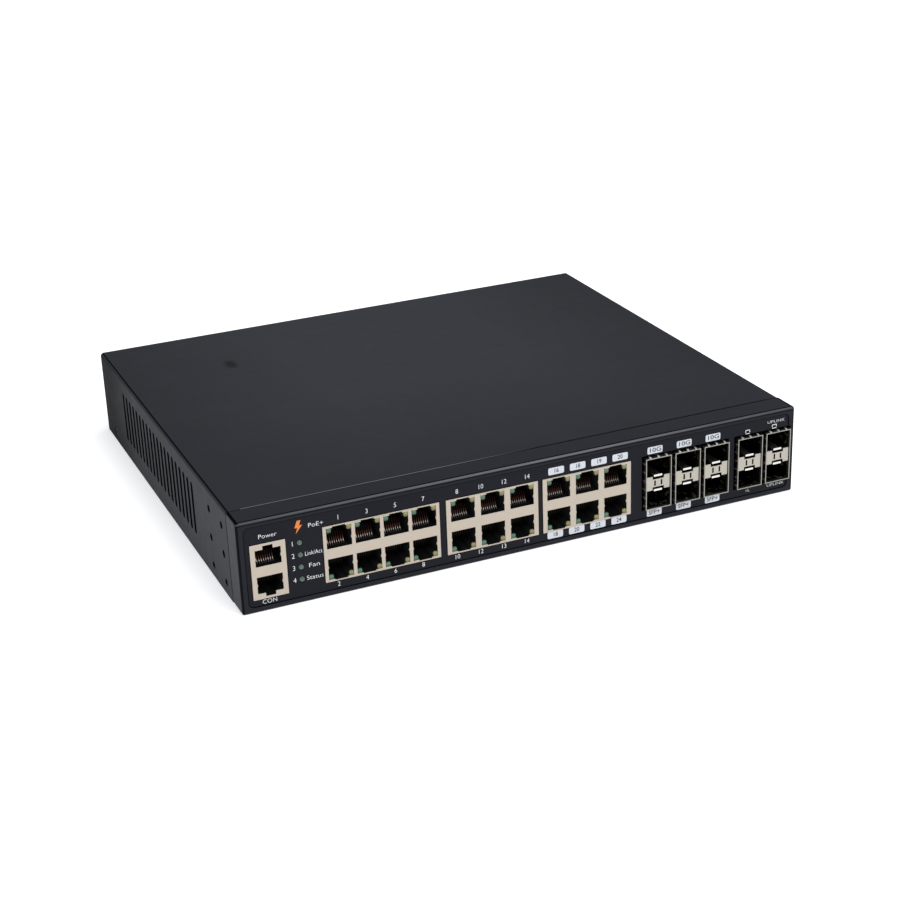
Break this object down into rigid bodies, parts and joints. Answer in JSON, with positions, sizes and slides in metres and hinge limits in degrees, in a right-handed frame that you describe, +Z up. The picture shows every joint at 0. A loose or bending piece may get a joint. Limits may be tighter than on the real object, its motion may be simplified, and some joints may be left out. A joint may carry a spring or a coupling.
{
  "type": "rackmount network switch",
  "caption": "Low flat metal network switch with stacked network jacks, stacked optical module cages, a console jack pair, status lights, slotted sides and rear fans.",
  "frame": {"origin": "centre of the underside of the whole object's bounding box, on the surface it stands on", "axes": "+X to the right along the port panel, +Y from the port panel to the rear, +Z up"},
  "size_m": [0.28, 0.244, 0.044],
  "materials": {
    "case_paint": "fine matt powder coat, charcoal",
    "bezel_paint": "satin moulded plastic, charcoal",
    "label_print": "printed polyester film, near black",
    "tinned_shield": "bright tinned brass sheet",
    "cage_steel": "bright nickel-plated sheet",
    "black_plastic": "satin moulded black plastic",
    "board": "green solder mask",
    "chip": "matt moulded epoxy",
    "heatsink": "plain extruded aluminium",
    "lens": "tinted light pipe",
    "winding_tape": "yellow winding tape",
    "capacitor_sleeve": "shrink sleeve",
    "screw_steel": "zinc-plated steel",
    "pin_brass": "nickel-plated brass",
    "cable": "wire insulation"
  },
  "bodies": {
    "chassis": {"base_tray": "case_paint", "top_cover": "case_paint", "front_bezel": "bezel_paint", "label_sheet": "label_print", "cover_screw_left": "screw_steel", "cover_screw_right": "screw_steel", "main_board": "board", "jack_shield_console": "tinned_shield", "jack_insert_console": "black_plastic", "jack_shield_a": "tinned_shield", "jack_insert_a": "black_plastic", "jack_shield_b": "tinned_shield", "jack_insert_b": "black_plastic", "jack_shield_c": "tinned_shield", "jack_insert_c": "black_plastic", "sfp_cage_1": "cage_steel", "sfp_separator_1": "tinned_shield", "sfp_connector_1": "black_plastic", "sfp_cage_2": "cage_steel", "sfp_separator_2": "tinned_shield", "sfp_connector_2": "black_plastic", "sfp_cage_3": "cage_steel", "sfp_separator_3": "tinned_shield", "sfp_connector_3": "black_plastic", "sfp_cage_4": "cage_steel", "sfp_separator_4": "tinned_shield", "sfp_connector_4": "black_plastic", "sfp_cage_5": "cage_steel", "sfp_separator_5": "tinned_shield", "sfp_connector_5": "black_plastic", "status_light_pipe": "lens", "switch_chip": "chip", "chip_heatsink": "heatsink", "poe_heatsink": "heatsink", "power_board": "board", "power_transformer": "winding_tape", "power_heatsink": "heatsink", "bulk_capacitor": "capacitor_sleeve", "supply_harness": "cable", "fan_frame_left": "black_plastic", "fan_frame_right": "black_plastic", "ac_inlet": "black_plastic", "inlet_pin_line": "pin_brass", "inlet_pin_neutral": "pin_brass", "inlet_pin_earth": "pin_brass", "power_switch_body": "black_plastic", "ground_screw": "pin_brass"},
    "sfp_latch_1_upper": {"sfp_latch_1_upper": "cage_steel"},
    "sfp_latch_1_lower": {"sfp_latch_1_lower": "cage_steel"},
    "sfp_latch_2_upper": {"sfp_latch_2_upper": "cage_steel"},
    "sfp_latch_2_lower": {"sfp_latch_2_lower": "cage_steel"},
    "sfp_latch_3_upper": {"sfp_latch_3_upper": "cage_steel"},
    "sfp_latch_3_lower": {"sfp_latch_3_lower": "cage_steel"},
    "sfp_latch_4_upper": {"sfp_latch_4_upper": "cage_steel"},
    "sfp_latch_4_lower": {"sfp_latch_4_lower": "cage_steel"},
    "sfp_latch_5_upper": {"sfp_latch_5_upper": "cage_steel"},
    "sfp_latch_5_lower": {"sfp_latch_5_lower": "cage_steel"},
    "fan_rotor_left": {"fan_rotor_left": "black_plastic"},
    "fan_rotor_right": {"fan_rotor_right": "black_plastic"},
    "power_rocker": {"power_rocker": "black_plastic"}
  },
  "joints": [
    {"name": "sfp_latch_1_upper_flex", "type": "hinge", "parent": "chassis", "child": "sfp_latch_1_upper", "pos_m": [0.06535, -0.1067, 0.0237], "axis": [1, 0, 0], "range_deg": [0, 4], "stiffness_Nm_per_rad": 0.97},
    {"name": "sfp_latch_1_lower_flex", "type": "hinge", "parent": "chassis", "child": "sfp_latch_1_lower", "pos_m": [0.06535, -0.1067, 0.0167], "axis": [-1, 0, 0], "range_deg": [0, 4], "stiffness_Nm_per_rad": 0.97},
    {"name": "sfp_latch_2_upper_flex", "type": "hinge", "parent": "chassis", "child": "sfp_latch_2_upper", "pos_m": [0.08105, -0.1067, 0.0237], "axis": [1, 0, 0], "range_deg": [0, 4], "stiffness_Nm_per_rad": 0.97},
    {"name": "sfp_latch_2_lower_flex", "type": "hinge", "parent": "chassis", "child": "sfp_latch_2_lower", "pos_m": [0.08105, -0.1067, 0.0167], "axis": [-1, 0, 0], "range_deg": [0, 4], "stiffness_Nm_per_rad": 0.97},
    {"name": "sfp_latch_3_upper_flex", "type": "hinge", "parent": "chassis", "child": "sfp_latch_3_upper", "pos_m": [0.09675, -0.1067, 0.0237], "axis": [1, 0, 0], "range_deg": [0, 4], "stiffness_Nm_per_rad": 0.97},
    {"name": "sfp_latch_3_lower_flex", "type": "hinge", "parent": "chassis", "child": "sfp_latch_3_lower", "pos_m": [0.09675, -0.1067, 0.0167], "axis": [-1, 0, 0], "range_deg": [0, 4], "stiffness_Nm_per_rad": 0.97},
    {"name": "sfp_latch_4_upper_flex", "type": "hinge", "parent": "chassis", "child": "sfp_latch_4_upper", "pos_m": [0.11525, -0.1067, 0.0237], "axis": [1, 0, 0], "range_deg": [0, 4], "stiffness_Nm_per_rad": 0.97},
    {"name": "sfp_latch_4_lower_flex", "type": "hinge", "parent": "chassis", "child": "sfp_latch_4_lower", "pos_m": [0.11525, -0.1067, 0.0167], "axis": [-1, 0, 0], "range_deg": [0, 4], "stiffness_Nm_per_rad": 0.97},
    {"name": "sfp_latch_5_upper_flex", "type": "hinge", "parent": "chassis", "child": "sfp_latch_5_upper", "pos_m": [0.13085, -0.1067, 0.0237], "axis": [1, 0, 0], "range_deg": [0, 4], "stiffness_Nm_per_rad": 0.97},
    {"name": "sfp_latch_5_lower_flex", "type": "hinge", "parent": "chassis", "child": "sfp_latch_5_lower", "pos_m": [0.13085, -0.1067, 0.0167], "axis": [-1, 0, 0], "range_deg": [0, 4], "stiffness_Nm_per_rad": 0.97},
    {"name": "fan_spin_left", "type": "hinge", "parent": "chassis", "child": "fan_rotor_left", "pos_m": [0.042, 0.1073, 0.0219], "axis": [0, 1, 0], "continuous": true},
    {"name": "fan_spin_right", "type": "hinge", "parent": "chassis", "child": "fan_rotor_right", "pos_m": [0.096, 0.1073, 0.0219], "axis": [0, 1, 0], "continuous": true},
    {"name": "power_rocker_tilt", "type": "hinge", "parent": "chassis", "child": "power_rocker", "pos_m": [-0.072, 0.1163, 0.0215], "axis": [1, 0, 0], "range_deg": [0, 16]}
  ]
}
